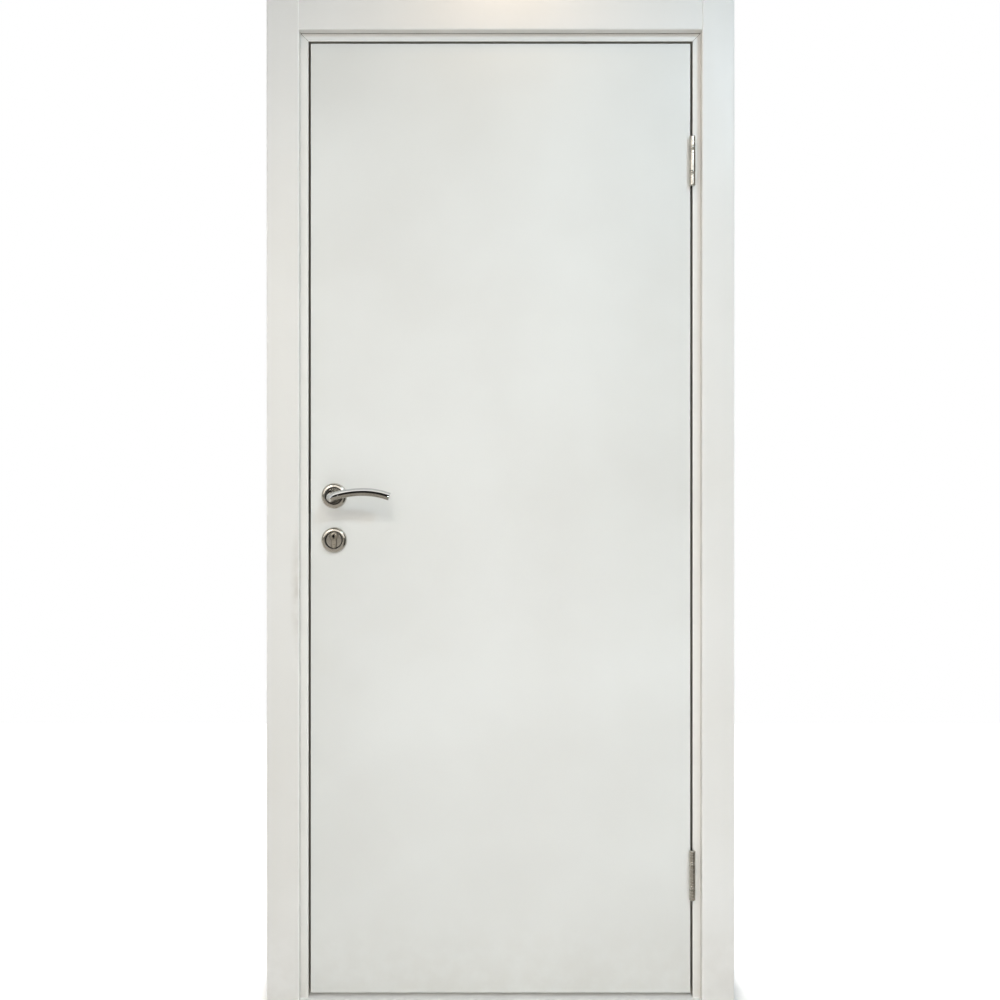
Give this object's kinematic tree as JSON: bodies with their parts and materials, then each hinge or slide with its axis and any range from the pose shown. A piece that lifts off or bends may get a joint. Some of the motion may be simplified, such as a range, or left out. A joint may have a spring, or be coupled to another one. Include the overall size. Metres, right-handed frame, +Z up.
{
  "type": "prehung door",
  "caption": "White flush interior door hung on butt hinges in a mitred timber frame, with flat casings on both faces, lever handles on round roses and a key cylinder.",
  "frame": {"origin": "on the wall face of the hinge jamb, at floor level, half way through the depth of the frame", "axes": "+X from the doorway into the wall on the hinge side, +Y from the front face through to the back, +Z up"},
  "size_m": [0.978, 0.16, 2.099],
  "materials": {
    "leaf_paint": "factory satin white paint on hardboard",
    "leaf_rim": "softwood rim, edges painted satin white",
    "frame_paint": "satin white paint on timber",
    "casing_paint": "satin white paint on fibreboard",
    "seal_rubber": "soft extruded dark brown seal",
    "satin_nickel": "satin nickel with polished faces",
    "cylinder_nickel": "matt nickel plate",
    "hinge_steel": "satin nickel plate on steel",
    "lock_steel": "zinc plated steel"
  },
  "bodies": {
    "frame": {"hinge_jamb": "frame_paint", "strike_jamb": "frame_paint", "head_jamb": "frame_paint", "hinge_side_stop": "frame_paint", "strike_side_stop": "frame_paint", "head_stop": "frame_paint", "hinge_side_seal": "seal_rubber", "strike_side_seal": "seal_rubber", "head_seal": "seal_rubber", "front_casing_left": "casing_paint", "front_casing_right": "casing_paint", "front_casing_head": "casing_paint", "back_casing_left": "casing_paint", "back_casing_right": "casing_paint", "back_casing_head": "casing_paint", "strike_plate": "lock_steel", "upper_hinge_frame_leaf": "hinge_steel", "lower_hinge_frame_leaf": "hinge_steel", "upper_hinge_pin": "hinge_steel", "lower_hinge_pin": "hinge_steel"},
    "leaf": {"leaf_front_skin": "leaf_paint", "leaf_back_skin": "leaf_paint", "leaf_lock_stile": "leaf_rim", "leaf_hinge_stile": "leaf_rim", "leaf_top_rail": "leaf_rim", "leaf_bottom_rail": "leaf_rim", "lock_case": "lock_steel", "lock_forend": "lock_steel", "latch_bolt": "lock_steel", "dead_bolt": "lock_steel", "key_cylinder": "cylinder_nickel", "key_plugs": "cylinder_nickel", "front_lever_rose": "satin_nickel", "back_lever_rose": "satin_nickel", "front_key_rose": "satin_nickel", "back_key_rose": "satin_nickel", "upper_hinge_door_leaf": "hinge_steel", "lower_hinge_door_leaf": "hinge_steel", "upper_hinge_bearings": "hinge_steel", "lower_hinge_bearings": "hinge_steel"},
    "lever": {"front_lever": "satin_nickel", "back_lever": "satin_nickel", "lever_spindle": "lock_steel"}
  },
  "joints": [
    {"name": "door_swing", "type": "hinge", "parent": "frame", "child": "leaf", "pos_m": [-0.0325, -0.047, 1.01], "axis": [0, 0, 1], "range_deg": [0, 150]},
    {"name": "lever_turn", "type": "hinge", "parent": "leaf", "child": "lever", "pos_m": [-0.785, -0.02, 1.057], "axis": [0, 1, 0], "range_deg": [0, 40], "stiffness_Nm_per_rad": 1.5, "springref_deg": -28.65}
  ]
}
